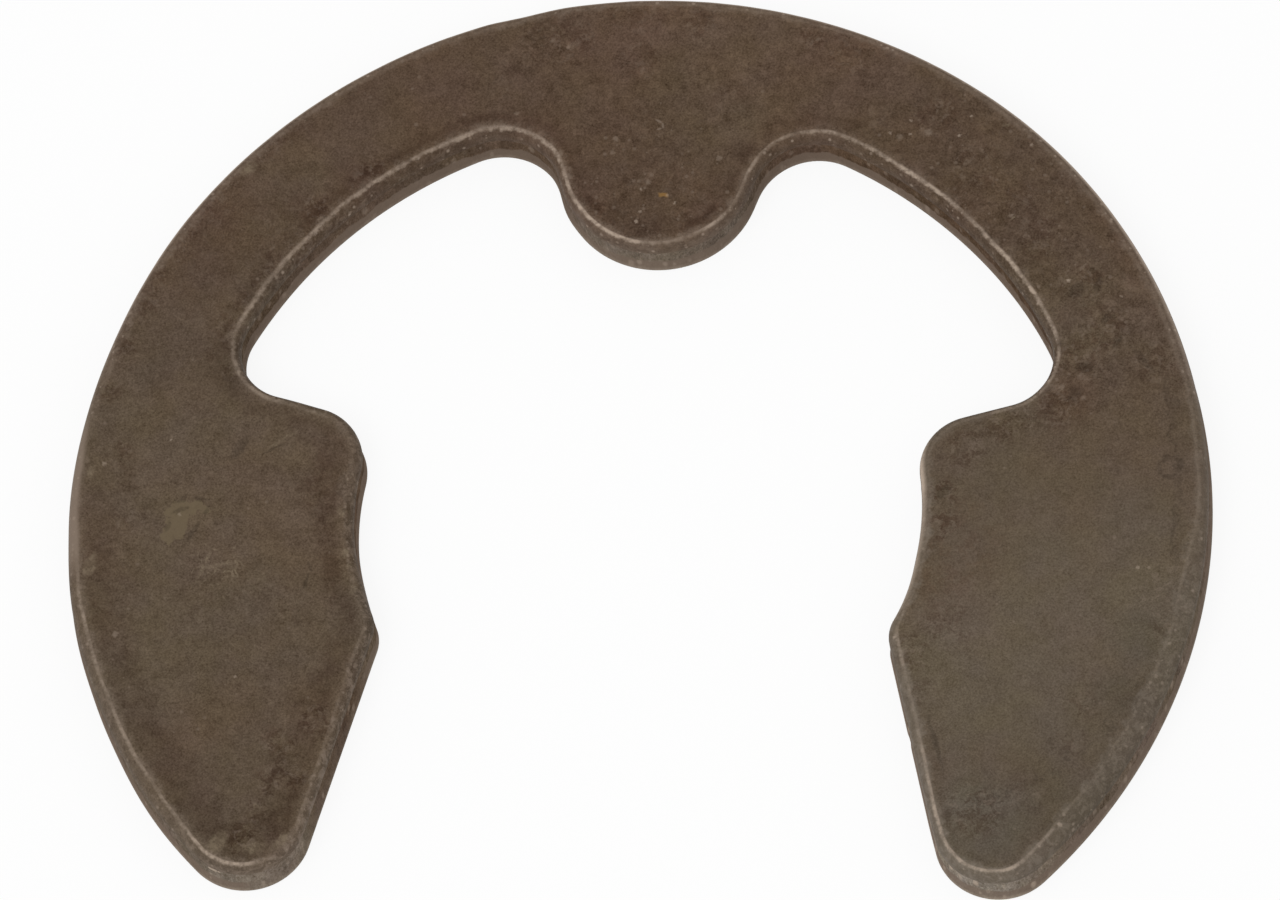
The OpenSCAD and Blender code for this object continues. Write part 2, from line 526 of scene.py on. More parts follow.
def phosphate_coat():
    """Fine crystalline coat: clouds, mottle, flakes and grain over a base
    colour that drifts a little. It is warmer where it is darker."""
    tree, ins, outs = start_group(
        "phosphate coat", "ShaderNodeTree",
        [("Place", "NodeSocketVector", None),
         ("Base", "NodeSocketColor", None),
         ("Clouds", NUMBER, 0.5),
         ("Mottle", NUMBER, 0.5),
         ("Flakes", NUMBER, 0.1),
         ("Grain", NUMBER, 0.5)],
        [("Colour", "NodeSocketColor"), ("Roughness", NUMBER),
         ("Height", NUMBER)])
    place = ins.outputs["Place"]

    def around(*args):
        """Noise about nought."""
        return minus(tree, cloud(tree, place, *args), 0.5)

    clouds = around(0.4, 2.0, 0.5)
    mottle = around(2.0, 6.0, 0.88, 0.3)
    # Flakes are small cells with crisp sides; most are close to the base
    cell = put(tree, "ShaderNodeTexVoronoi", stirred(tree, place, 9.0, 0.16),
               named={"Scale": 6.5}).outputs["Color"]
    red = put(tree, "ShaderNodeSeparateColor", cell).outputs[0]
    flakes = minus(tree, red, 0.5)
    flakes = times(tree, flakes, flakes, flakes, 4.0)
    grain = around(24.0, 1.0, 0.8)
    swing = 0.0
    for layer, share in ((clouds, "Clouds"), (mottle, "Mottle"),
                         (flakes, "Flakes"), (grain, "Grain")):
        swing = plus(tree, swing, times(tree, layer, ins.outputs[share]))
    tone = vector(tree, "ADD", (1, 1, 1),
                  scaled(tree, (0.94, 1.02, 1.13), swing))
    elsewhere = vector(tree, "ADD", place, (7, 3, 0))
    warm = step(tree, cloud(tree, elsewhere, 0.35, 3.0), 0.35, 0.65)
    yellow = step(tree, cloud(tree, elsewhere, 0.9, 4.0), 0.3, 0.7)
    tint = vector(tree, "MULTIPLY",
                  blend(tree, warm, (0.979, 1.007, 1, 1), (1.021, 0.993, 1, 1)),
                  blend(tree, yellow, (1, 1, 1.055, 1), (1, 1, 0.945, 1)))
    toned = vector(tree, "MULTIPLY", vector(
        tree, "MULTIPLY", ins.outputs["Base"], tone), tint)
    tree.links.new(toned, outs.inputs["Colour"])
    tree.links.new(step(tree, mottle, -0.2, 0.2, 0.68, 0.54),
                   outs.inputs["Roughness"])
    tree.links.new(plus(tree, grain, times(tree, mottle, 0.6)),
                   outs.inputs["Height"])
    return tree


def bright_specks():
    """Pale grains, partly painted glints where crystals catch the light: in
    so many cells to a millimetre, a share of the cells holds one."""
    tree, ins, outs = start_group(
        "bright specks", "ShaderNodeTree",
        [("Place", "NodeSocketVector", None),
         ("Cells", NUMBER, 6.0),
         ("Share", NUMBER, 0.2),
         ("Size", NUMBER, 0.3)],
        [("Mask", NUMBER)])
    cell = put(tree, "ShaderNodeTexVoronoi", ins.outputs["Place"],
               named={"Scale": ins.outputs["Cells"]})
    draw = put(tree, "ShaderNodeSeparateColor", cell.outputs["Color"])
    held = maths(tree, "LESS_THAN", draw.outputs[0], ins.outputs["Share"])
    size = times(tree, ins.outputs["Size"],
                 step(tree, draw.outputs[1], 0.0, 1.0, 0.5, 1.2))
    near = step(tree, maths(tree, "DIVIDE", cell.outputs["Distance"], size),
                1.0, 0.35)
    tree.links.new(times(tree, held, near,
                         step(tree, draw.outputs[2], 0.0, 1.0, 0.35, 1.0)),
                   outs.inputs["Mask"])
    return tree


def start_material(name):
    """A material, its tree and shader, and the place in millimetres."""
    material = bpy.data.materials.new(name)
    material.use_nodes = True
    tree = material.node_tree
    here = put(tree, "ShaderNodeTexCoord").outputs["Object"]
    place = scaled(tree, here, 1 / MM)
    return material, tree, tree.nodes["Principled BSDF"], place


def finish(tree, shader, body, tone, height, metal, gloss, relief, deep):
    """Joins the layers to the shader. The relief is so many mm deep."""
    tree.links.new(tone, shader.inputs["Base Color"])
    shader.inputs["Metallic"].default_value = metal
    shader.inputs["Specular IOR Level"].default_value = gloss
    tree.links.new(body.outputs["Roughness"], shader.inputs["Roughness"])
    bump = put(tree, "ShaderNodeBump", named={
        "Strength": relief, "Distance": deep * MM, "Height": height})
    tree.links.new(bump.outputs[0], shader.inputs["Normal"])


def attribute(tree, name):
    return put(tree, "ShaderNodeAttribute", attribute_name=name).outputs["Fac"]


def most(tree, first, *others):
    """The highest of the values."""
    for other in others:
        first = maths(tree, "MAXIMUM", first, other)
    return first


def less(tree, value, low=0.0):
    """What is left of a full share, down to a low one."""
    return step(tree, value, 0.0, 1.0, 1.0, low)


def tinted(tree, tone, mask, tint):
    """A colour that is multiplied by a tint where the mask is full."""
    return vector(tree, "MULTIPLY", tone, blend(
        tree, mask, (1, 1, 1, 1), (*tint, 1)))


def spot(tree, place, x, y, reach, soft=0.5, z=THICKNESS):
    """Round patch on the top face, full to the soft share of its reach."""
    return step(tree, vector(tree, "DISTANCE", place, (x, y, z)),
                reach, reach * soft)


def streak(tree, place, x, y, angle, length, width):
    """Long patch on the top face: a stretched round one."""
    turned = put(tree, "ShaderNodeMapping", place, (0, 0, 0),
                 (0, 0, radians(-angle)), (1, 1, 1)).outputs[0]
    middle = Matrix.Rotation(radians(-angle), 3, "Z") @ Vector((x, y, THICKNESS))
    away = vector(tree, "MULTIPLY", vector(tree, "SUBTRACT", turned, middle),
                  (1 / length, 1 / width, 1))
    return step(tree, vector(tree, "LENGTH", away), 1.0, 0.4)


def streaks(tree, place, lines):
    """All the streaks of a list."""
    return most(tree, *[streak(tree, place, *line) for line in lines])


def spots(tree, place, rows, soft):
    """All the spots of a list, each as strong as the last figure of its row."""
    return most(tree, *[times(tree, spot(tree, place, x, y, reach, soft), share)
                        for x, y, reach, share in rows])


def stirred(tree, place, scale, reach, detail=3.0):
    """The place, pushed about so that what is drawn there turns ragged."""
    push = put(tree, "ShaderNodeTexNoise", place, named={
        "Scale": scale, "Detail": detail, "Roughness": 0.6}).outputs["Color"]
    return vector(tree, "ADD", place, scaled(tree, vector(
        tree, "SUBTRACT", push, (0.5, 0.5, 0.5)), reach))


# Grains of grit on the top face: x, y, reach and how bright each is
GRIT = [
    (-0.31, 7.42, 0.05, 0.3), (-0.37, 6.66, 0.055, 0.36),
    (-0.3, 6.89, 0.05, 0.25), (-0.17, 7.58, 0.08, 0.15),
    (0.42, 7.11, 0.04, 0.3), (4.86, 8.78, 0.05, 0.25), (5.06, 8.68, 0.1, 0.14),
    (5.28, 8.76, 0.05, 0.25), (5.28, 9.07, 0.05, 0.25),
    (5.66, 8.81, 0.12, 0.14), (6.31, 8.73, 0.06, 0.36),
    (6.54, 9.17, 0.045, 0.3), (7.84, 8.53, 0.05, 0.25), (8.76, 5.4, 0.06, 0.4),
    (9.88, 5.04, 0.05, 0.2), (9.25, -6.86, 0.06, 0.2),
    (9.18, -7.08, 0.08, 0.32), (9.23, -7.29, 0.08, 0.36),
    (10.52, -1.19, 0.06, 0.25), (10.75, -1.19, 0.05, 0.15),
    (5.52, -2.83, 0.08, 0.4), (-5.43, -3.02, 0.07, 0.4),
    (-9.56, -0.23, 0.05, 0.15), (-9.84, 1.49, 0.04, 0.3),
    (-11.21, 0.92, 0.07, 0.22), (-10.74, -2.99, 0.09, 0.17),
    (-8.17, -3.93, 0.04, 0.25), (-2.34, 10.87, 0.08, 0.1),
    (-2.02, 10.7, 0.07, 0.12), (-3.02, 9.14, 0.07, 0.12),
    (-0.9, 8.57, 0.09, 0.15), (-0.96, 8.26, 0.08, 0.12),
    (1.29, 8.16, 0.09, 0.14), (3.23, 10.94, 0.07, 0.12),
    (8.74, 2.93, 0.09, 0.14), (9.2, 2.69, 0.08, 0.12),
    (7.48, 6.89, 0.08, 0.12)]


# Streaks on the top face: x, y, angle, length and width. The scribbles are
# pale scratches and flakes.
SCRIBBLES = [
    (-9.03, -1.55, 60, 0.26, 0.06), (-8.76, -1.4, 15, 0.34, 0.07),
    (-8.9, -1.2, 80, 0.26, 0.05), (-8.4, -1.31, 5, 0.16, 0.07),
    (-8.29, -1.5, 90, 0.28, 0.035), (-8.52, -1.68, 40, 0.12, 0.06),
    (-7.5, 1.53, 36, 0.5, 0.05), (7.27, 9.0, 20, 0.13, 0.05),
    (-8.3, -7.73, 60, 0.34, 0.24), (-7.58, -7.85, 10, 0.4, 0.18),
    (-7.01, -7.7, 40, 0.4, 0.16), (-7.54, -6.89, -30, 0.14, 0.07),
    (-11.36, -1.41, 70, 0.35, 0.17), (-11.48, 0.73, 80, 0.2, 0.1),
    (7.52, 6.84, 30, 0.1, 0.05), (-8.6, 7.82, 40, 0.3, 0.18),
    (-6.18, -0.13, 100, 0.16, 0.1), (-6.04, -1.07, 100, 0.17, 0.11),
    (-5.92, -1.37, 80, 0.13, 0.09), (-5.82, -1.92, 70, 0.15, 0.1)]
# A fine curl on the prong
CURL = [
    (-0.02, 9.0, 150, 0.11, 0.035), (0.07, 8.9, 100, 0.09, 0.035),
    (0.0, 8.82, 20, 0.08, 0.03)]
# Three lobes of a bare patch on the left arm
BARE_PATCH = [
    (-9.62, -0.56, 55, 0.52, 0.33), (-9.5, -0.12, 15, 0.44, 0.3),
    (-9.05, -0.05, -25, 0.3, 0.12)]
# Dark dents and cracks
DENTS = [
    (-9.62, -0.17, 20, 0.16, 0.09), (-9.48, -0.09, 15, 0.16, 0.08),
    (-9.55, 0.12, 40, 0.2, 0.09), (-9.14, 0.13, -8, 0.3, 0.08),
    (-9.0, -0.12, 70, 0.2, 0.07), (-9.25, -0.6, 62, 0.35, 0.08),
    (-9.8, -0.5, 70, 0.2, 0.07), (-6.82, -1.73, 75, 0.34, 0.06),
    (-6.75, -1.4, 110, 0.17, 0.05), (-8.4, 1.3, 60, 0.42, 0.16),
    (-7.75, 1.28, 32, 0.4, 0.04), (11.2, -0.1, 88, 0.4, 0.05),
    (8.95, 5.18, 30, 0.3, 0.25), (9.38, 5.3, 80, 0.3, 0.12),
    (9.61, 4.54, 40, 0.25, 0.14), (6.4, 0.5, 40, 0.3, 0.15),
    (9.85, 4.0, 60, 0.25, 0.12), (10.4, 3.6, -50, 0.5, 0.12),
    (9.2, 3.4, 20, 0.3, 0.2), (9.0, 2.75, 70, 0.35, 0.2),
    (6.5, -5.25, -73, 1.0, 0.08)]
# Creases near the outside of the right arm
CREASES = [
    (10.7, -3.93, 50, 0.7, 0.22), (10.16, -4.73, 64, 0.65, 0.22),
    (9.3, -5.6, 36, 0.8, 0.2), (8.3, -6.25, 27, 0.9, 0.2)]


def face_marks(tree, at, tone):
    """Marks this one clip carries: a bare patch, scribbles and threads on
    the left arm, a ring, a seam and creases on the right one, a curl and a
    brass-coloured grain on the prong."""
    ragged = stirred(tree, at.place, 5.0, 0.65, 6.0)
    shaken = stirred(tree, at.place, 7.0, 0.2)
    broken = step(tree, at.fines, 0.0, 1.0, 0.35, 1.0)
    threads = put(tree, "ShaderNodeTexVoronoi", shaken, named={"Scale": 2.6},
                  feature="DISTANCE_TO_EDGE").outputs["Distance"]
    threads = times(tree, step(tree, threads, 0.07, 0.02), at.spot(
        -8.7, -1.35, 0.85, 0.3), broken)
    tone = blend(tree, times(tree, streaks(tree, at.place, CURL), 0.5), tone,
                 CRYSTAL)
    tone = blend(tree, times(tree, most(tree, streaks(
        tree, shaken, SCRIBBLES), threads), broken, 0.55), tone, THREAD)
    tone = blend(tree, times(
        tree, step(tree, streaks(tree, ragged, BARE_PATCH), 0.25, 0.5),
        step(tree, at.fines, 0.0, 1.0, 0.85, 0.7)), tone, OLIVE_PATCH)
    ring = vector(tree, "DISTANCE", shaken, (11.08, 1.12, THICKNESS))
    ring = times(tree, step(tree, ring, 0.12, 0.21),
                 step(tree, ring, 0.34, 0.24))
    # The seam wavers about a line 0.64 mm in from the edge
    waver = cloud(tree, at.place, 2.0, 4.0, 0.6)
    seam = maths(tree, "ABSOLUTE",
                 minus(tree, plus(tree, at.inward, waver), 1.14))
    seam = times(tree, step(tree, seam, 0.12, 0.03), 0.7,
                 at.spot(11.3, 1.0, 2.9, 0.6))
    # Dents, cracks, the ring and the seam darken the coat
    dark_marks = times(tree, most(tree, streaks(tree, shaken, DENTS), ring, seam),
                 step(tree, at.fines, 0.0, 1.0, 0.6, 1.0))
    tone = scaled(tree, tone, less(tree, dark_marks, 0.7))
    tone = scaled(tree, tone, less(tree, times(
        tree, streaks(tree, ragged, CREASES), at.fines), 0.78))
    brass = streak(tree, shaken, 0.17, 7.29, -12, 0.14, 0.07)
    tone = blend(tree, times(tree, brass, 0.65), tone, BRASS)
    # A painted glint beside the brass grain
    glint = at.spot(0.25, 7.28, 0.05, 0.3)
    return blend(tree, times(tree, glint, 0.2), tone, PALE_WEAR_AND_HIGHLIGHT)


# Patches of dark crumbs on the top face: x, y, reach and strength
PATCHES = [
    (8.4, 4.2, 3.4, 0.35), (-8.6, 5.6, 2.8, 0.3), (0.0, 7.0, 2.2, 0.35),
    (7.0, 8.0, 3.0, 0.25), (5.8, 9.2, 0.7, 0.9), (6.7, 8.0, 0.8, 0.8),
    (7.6, 7.3, 0.7, 0.7), (8.1, 6.4, 0.8, 0.8), (9.1, 5.4, 0.8, 1.0),
    (9.6, 4.3, 0.8, 1.0), (9.1, 3.5, 0.8, 0.9), (10.6, 3.5, 0.7, 0.8),
    (8.6, 2.5, 0.8, 0.9), (7.5, 2.2, 0.6, 0.8), (7.4, -6.8, 0.9, 1.0),
    (8.4, -6.4, 0.7, 0.6), (6.6, -2.6, 0.8, 0.7), (-2.0, 10.9, 0.8, 0.8),
    (-0.5, 10.4, 0.6, 0.7), (3.9, 10.6, 0.7, 0.6), (6.4, 0.5, 0.45, 1.0),
    (6.4, -0.3, 0.45, 1.0), (7.5, 2.0, 0.6, 1.0), (5.9, -3.2, 0.6, 1.0),
    (6.2, -4.1, 0.4, 0.7), (0.7, 11.3, 0.5, 0.8), (3.1, 11.0, 0.4, 0.8),
    (-6.9, -6.1, 0.6, 0.9), (-7.8, -7.6, 0.5, 1.0), (-6.4, -4.9, 0.5, 1.0),
    (8.7, 3.1, 0.5, 1.0), (8.0, 2.3, 0.5, 1.0), (-8.8, 4.1, 0.6, 0.6),
    (-8.6, 3.2, 0.5, 0.8), (-10.9, 1.2, 0.4, 0.9), (-10.6, 4.6, 0.5, 0.9),
    (-11.2, 2.6, 0.4, 0.8), (8.6, 3.8, 0.5, 1.0), (6.8, 1.5, 0.6, 1.0),
    (8.6, 2.6, 0.7, 1.0), (-8.4, 8.2, 0.4, 1.0), (-10.0, 5.9, 0.4, 1.0),
    (-11.0, 3.6, 0.5, 1.0), (-7.8, 5.8, 0.5, 0.9), (-7.1, 6.9, 0.5, 1.0),
    (-6.0, 7.7, 0.5, 1.0), (-9.1, 3.4, 0.5, 0.5), (-10.7, 0.6, 0.6, 0.5),
    (-10.6, -0.4, 0.5, 0.8), (-7.2, -5.4, 0.5, 1.0), (-7.3, -6.3, 0.5, 1.0),
    (-7.6, -7.0, 0.4, 0.8), (11.1, -2.6, 0.4, 0.8), (9.5, -4.4, 0.5, 0.7),
    (9.3, -5.2, 0.5, 0.6), (8.95, 3.9, 0.5, 1.0)]


# Soft changes of the coat's shade on the top face: x, y, reach and shade
SHADES = [
    (-8.7, 3.3, 1.0, (0.8, 0.78, 0.8)), (-10.1, 3.7, 1.5, (0.91, 0.92, 0.92)),
    (-9.3, 5.5, 1.2, (0.9, 0.9, 0.89)), (-7.7, 7.3, 1.6, (1.05, 1.1, 1.09)),
    (-6.5, 8.3, 1.6, (1.05, 1.05, 1.07)), (-7.3, 6.9, 0.6, (0.91, 0.87, 0.87)),
    (-6.5, 7.6, 0.6, (0.93, 0.9, 0.9)), (10.3, -4.1, 0.9, (0.86, 0.88, 0.89)),
    (10.65, -2.8, 0.9, (0.9, 0.92, 0.93)), (8.9, 2.7, 0.9, (0.93, 0.87, 0.86)),
    (9.2, 3.6, 1.4, (0.96, 0.96, 0.96)), (7.5, -7.0, 1.5, (1.02, 1.1, 1.14)),
    (6.5, 1.4, 0.9, (1.03, 1.01, 1.04)), (0.0, 7.6, 2.6, (0.985, 0.96, 0.955)),
    (-8.7, -5.6, 2.6, (0.98, 0.96, 0.955))]


def about_face(tree, place):
    """What the layers of the face share: where a point lies, the traits of
    the edge near it, the noises that turn layers ragged, and the parts of
    the face that differ from the rest."""
    x, y, z = put(tree, "ShaderNodeSeparateXYZ", place).outputs
    inward = attribute(tree, "edge_distance")

    def patch(*where):
        return spot(tree, place, *where)

    return SimpleNamespace(
        place=place, x=x, y=y, z=z, inward=inward, spot=patch,
        # Below nought on the rolled edge and above it on the flat
        from_roll=minus(tree, inward, attribute(tree, "roll_width")),
        rub_and_highlight=attribute(tree, "rub_and_highlight"),
        pale=attribute(tree, "wall_pale"),
        crumbly=attribute(tree, "crumbly"),
        wobble=cloud(tree, place, 3.2, 4.0, 0.6),
        beads=cloud(tree, place, 9.0, 2.0, 0.6),
        crumbs=crumble(tree, place, 3.4, 0.48, 0.55),
        fines=crumble(tree, place, 5.5, 0.44, 0.62),
        # The smoother right arm, the right web, the left seat and the inner
        # flank of the left arm
        quiet=times(tree, step(tree, x, 3.0, 8.0), step(tree, y, 4.0, 0.0)),
        web=times(tree, step(tree, x, 3.0, 4.5), step(tree, y, 2.0, 3.0)),
        left_seat=patch(-5.9, -1.9, 2.4, 0.6),
        inner=times(tree, step(tree, x, -7.6, -7.0), step(tree, x, -2.0, -4.0),
                    step(tree, y, -3.0, -4.0)))


def face_coat(tree, at, coat):
    """The coat: warm brown round the rim, olive on the arms, greyer on the
    right one and darker towards the right point. It is coarsest on the rim
    and finest on the right arm."""
    lower = step(tree, plus(tree, at.y, at.wobble), 7.6, 4.2)
    base = blend(tree, lower, WARM_COAT, OLIVE_COAT)
    grey = times(tree, step(tree, at.x, 2.0, 7.0), step(tree, at.y, 2.5, -2.5))
    base = blend(tree, grey, base, GREY_COAT)
    corner = minus(tree, times(tree, at.x, 0.5), at.y)
    base = scaled(tree, base, times(
        tree, step(tree, corner, 7.0, 12.0, 1.0, 0.87),
        step(tree, at.y, -3.5, -7.0, 1.0, 0.96),
        step(tree, at.y, 9.6, 11.6, 1.0, 1.1)))
    calm = at.spot(1.2, 9.4, 2.6, 0.2)
    base = tinted(tree, base, calm, (1.06, 1.1, 1.08))
    for x, y, reach, shade in SHADES:
        base = tinted(tree, base, at.spot(x, y, reach, 0.3), shade)

    rim, left = step(tree, at.y, 1.0, 4.5), step(tree, at.x, -3.0, -5.5)

    def share(left_arm, right_arm, right_rim, left_rim):
        return between(tree, rim,
                       between(tree, at.quiet, left_arm, right_arm),
                       between(tree, left, right_rim, left_rim))

    return use(tree, coat, place=at.place, base=base,
               clouds=share(0.07, 0.07, 0.33, 0.22),
               mottle=share(1.0, 0.66, 1.35, 0.8),
               flakes=share(0.22, 0.1, 0.34, 0.2),
               grain=between(tree, at.quiet, 1.3, 1.05))


def face_crumbs(tree, at, tone, specks):
    """Dark and pale crumbs in patches, a dark fringe along the edge, and
    bright grains, thickest on the prong and the right web."""
    patches = most(
        tree, spots(tree, at.place, PATCHES, 0.4),
        # Thinly all over, and along the outer edge of the left rim
        times(tree, step(tree, cloud(tree, at.place, 0.55, 2.0), 0.5, 0.68),
              0.4, less(tree, at.quiet, 0.3)),
        times(tree, at.spot(-9.6, 6.6, 4.5, 0.6),
              step(tree, at.inward, 0.7, 0.25), 0.9))
    # The fringe is wider on the left arm, a little less so by its seat, and
    # narrow on the right one
    width = minus(tree, step(tree, at.x, -4.0, 4.0, 0.45, -0.2),
                  times(tree, at.left_seat, 0.28))
    width = between(tree, step(tree, at.y, 2.5, 0.5), 0.0, width)
    ragged = plus(tree, at.from_roll,
                  minus(tree, times(tree, at.wobble, 0.9), width))
    strength = most(tree, at.rub_and_highlight, times(tree, at.crumbly, 0.72))
    strength = maths(tree, "MULTIPLY", strength, 1.35, clamp=True)
    fringe = times(
        tree, step(tree, ragged, 1.05, 0.6),
        step(tree, at.from_roll, 0.03, 0.28),
        step(tree, at.crumbs, 0.0, 1.0, 0.55, 1.0),
        strength, less(tree, at.web, 0.3),
        less(tree, times(tree, at.quiet, step(tree, at.x, 6.8, 8.2)), 0.5))
    seat = times(tree, at.spot(6.3, -0.8, 2.1, 0.3),
                 step(tree, at.crumbs, 0.0, 1.0, 0.5, 1.0))
    for mask, low in ((times(tree, patches, at.crumbs), 0.7), (fringe, 0.64),
                      (seat, 0.85)):
        # Darker is warmer
        tone = tinted(tree, tone, mask, (low * 1.07, low * 0.985, low * 0.95))
    crusty = most(tree, patches, at.spot(11.35, -1.9, 1.4, 0.4))
    shifted = vector(tree, "ADD", at.place, (3, 5, 0))
    tone = blend(tree, times(tree, crusty, crumble(
        tree, shifted, 4.6, 0.52, 0.6), 0.24), tone, CRYSTAL)
    crowd = most(tree, at.spot(0.0, 6.9, 2.6, 0.4),
                 times(tree, at.spot(8.0, 7.0, 4.6, 0.3), 0.8))
    # Bright grains: pale crystals, partly painted glints
    grains = use(tree, specks, place=at.place, cells=8.0, size=0.42,
                 share=plus(tree, 0.02, times(tree, crowd, 0.22)))
    return blend(tree, times(tree, grains.outputs[0], 0.38), tone, CRYSTAL)


def roll_line(tree, at, crisp):
    """The bright broken line where the rolled edge starts, partly wear and
    partly a painted highlight. It is the most ragged in the pockets and
    left out in a few places."""
    jag = plus(tree, 0.06, most(tree, times(
        tree, step(tree, at.x, -1.0, -3.0), step(tree, at.y, 0.0, 1.5), 0.05),
        times(tree, at.web, 0.03)))
    ragged = plus(tree, at.from_roll,
                  times(tree, minus(tree, at.beads, 0.5), jag))
    line_gaps = most(tree, times(tree, at.inner, 0.55), spots(
        tree, at.place, [(0.55, 6.1, 0.9, 0.6), (-6.9, -7.9, 1.0, 0.8)], 0.4),
        times(tree, at.spot(1.75, 7.2, 1.0, 0.3), 0.6))
    return times(
        tree, step(tree, ragged, -0.075, -0.015),
        step(tree, at.from_roll, times(tree, jag, 0.8), 0.005),
        at.rub_and_highlight, crisp, less(tree, line_gaps),
        step(tree, cloud(tree, at.place, 1.6, 5.0, 0.7), 0.35, 0.6, 0.3, 1.0),
        step(tree, at.beads, 0.3, 0.6, 0.45, 1.0))


def rolled_edge(tree, at, tone, specks):
    """The rolled edge: a bright line where it starts, partly wear and partly
    a painted highlight, paler and crumbly beyond it. Along the left arm
    the line only starts half way down, and where there is no line the
    brink carries a painted highlight."""
    crisp = most(tree, step(tree, at.x, -9.6, -9.0),
                 step(tree, at.y, -0.6, -2.4))
    flank = most(tree, at.inner, at.left_seat)
    # Frills of the coat on the flat side of the line
    ragged = plus(tree, at.from_roll, times(tree, at.wobble, 0.2))
    frill = times(tree, step(tree, ragged, 0.36, 0.08),
                  step(tree, at.from_roll, -0.02, 0.02), at.rub_and_highlight,
                  less(tree, flank, 0.2),
                  step(tree, cloud(tree, at.place, 7.0, 4.0, 0.8), 0.45, 0.6))
    tone = blend(tree, times(tree, frill, step(
        tree, at.x, -3.0, 3.0, 0.5, 0.3)), tone, CRYSTAL)

    # The band from the line to the brink, ragged where the coat is crumbly
    ragged = times(
        tree, minus(tree, at.wobble, 0.5), between(
            tree, at.crumbly, 0.3, between(tree, flank, 1.1, 0.7)))
    reach = plus(tree, plus(tree, at.from_roll, ragged),
                 times(tree, flank, 0.08))
    band = step(tree, reach, 0.14, -0.02)
    flaky = between(
        tree, at.crumbly, step(tree, at.fines, 0.0, 1.0, 0.6, 1.0),
        between(tree, at.fines, step(tree, at.x, -2.0, 2.0, 0.1, 0.5),
                between(tree, flank, 1.15, 1.9)))
    beyond = times(tree, flaky, plus(tree, 0.04, times(tree, at.pale, 0.62)))
    beyond = plus(tree, beyond, times(tree, at.crumbly, at.fines, 0.16))
    tone = scaled(tree, tone, less(tree, times(
        tree, band, at.crumbly, less(tree, at.fines)), 0.82))
    shifted = plus(tree, at.from_roll, step(tree, at.y, 0.6, 2.4, 0.0, 0.1))
    soft = times(tree, less(tree, crisp), step(tree, at.y, 3.2, 1.0),
                 step(tree, shifted, 0.1, -0.05), 0.8)
    cool = times(tree, step(tree, at.x, -2.0, 2.0), step(tree, at.y, 4.5, 2.0))
    tone = blend(tree, most(tree, times(tree, band, beyond), soft), tone,
                 blend(tree, cool, CRYSTAL, COOL_COAT))
    # Pale crystals on the roll, partly painted glints
    flecks = use(tree, specks, place=at.place, cells=9.0, share=0.35, size=0.45)
    tone = blend(tree, times(
        tree, flecks.outputs[0], step(tree, at.from_roll, 0.04, -0.04),
        step(tree, at.y, 2.0, 3.0, 0.2, 0.34)), tone, PALE_WEAR_AND_HIGHLIGHT)

    # The line: pale with wear and with a painted highlight
    bright = plus(tree, step(tree, at.x, -4.0, -2.0, 0.56, 0.7),
                  times(tree, at.spot(-8.6, -7.8, 1.6, 0.4), 0.22))
    tone = blend(tree, times(tree, roll_line(tree, at, crisp), bright), tone,
                 PALE_WEAR_AND_HIGHLIGHT)
    # Painted highlight along the brink where there is no line, full on the steep
    # outer part of the roll
    seat = at.spot(5.6, -0.5, 2.6, 0.6)
    brink = times(
        tree, step(tree, at.inward, between(tree, seat, 0.14, 0.18), 0.025),
        less(tree, maths(tree, "MULTIPLY", at.rub_and_highlight, 2.5, clamp=True)),
        most(tree, step(tree, at.y, 0.8, 8.0, 0.0, 0.95),
             times(tree, seat, 0.58)),
        # It fades down the side
        step(tree, at.z, THICKNESS - 0.27, THICKNESS - 0.12, 0.12, 1.0),
        between(tree, at.spot(6.0, 1.3, 1.1, 0.5), 1.0, 1.8),
        step(tree, at.beads, 0.3, 0.55, 0.8, 1.0))
    return blend(tree, brink, tone, PALE_WEAR_AND_HIGHLIGHT)


def phosphated_face(coat, specks):
    """The top and bottom faces with the rolled edge."""
    material, tree, shader, place = start_material("phosphated face")
    at = about_face(tree, place)
    body = face_coat(tree, at, coat)
    tone = face_crumbs(tree, at, body.outputs["Colour"], specks)
    tone = face_marks(tree, at, tone)
    tone = rolled_edge(tree, at, tone, specks)
    chipped = stirred(tree, place, 16.0, 0.12)
    tone = blend(tree, spots(tree, chipped, GRIT, 0.3), tone, PALE_WEAR_AND_HIGHLIGHT)
    height = plus(tree, body.outputs["Height"], times(tree, at.fines, 0.3))
    finish(tree, shader, body, tone, height, metal=0.1, gloss=0.05,
           relief=0.4, deep=0.01)
    return material


# Chips on the sheared wall, pale with a painted shine: x, y, height and reach
CHIPS = [
    (-8.47, -8.16, 0.72, 0.07), (-8.39, -8.21, 0.73, 0.08),
    (-8.3, -8.27, 0.73, 0.06), (-8.2, -8.4, 0.58, 0.06),
    (-7.5, -8.7, 0.5, 0.05), (-7.85, -8.65, 0.35, 0.05),
    (7.55, -8.72, 0.62, 0.07), (7.7, -8.75, 0.56, 0.07),
    (8.35, -8.5, 0.68, 0.07), (6.95, -8.2, 0.5, 0.04)]


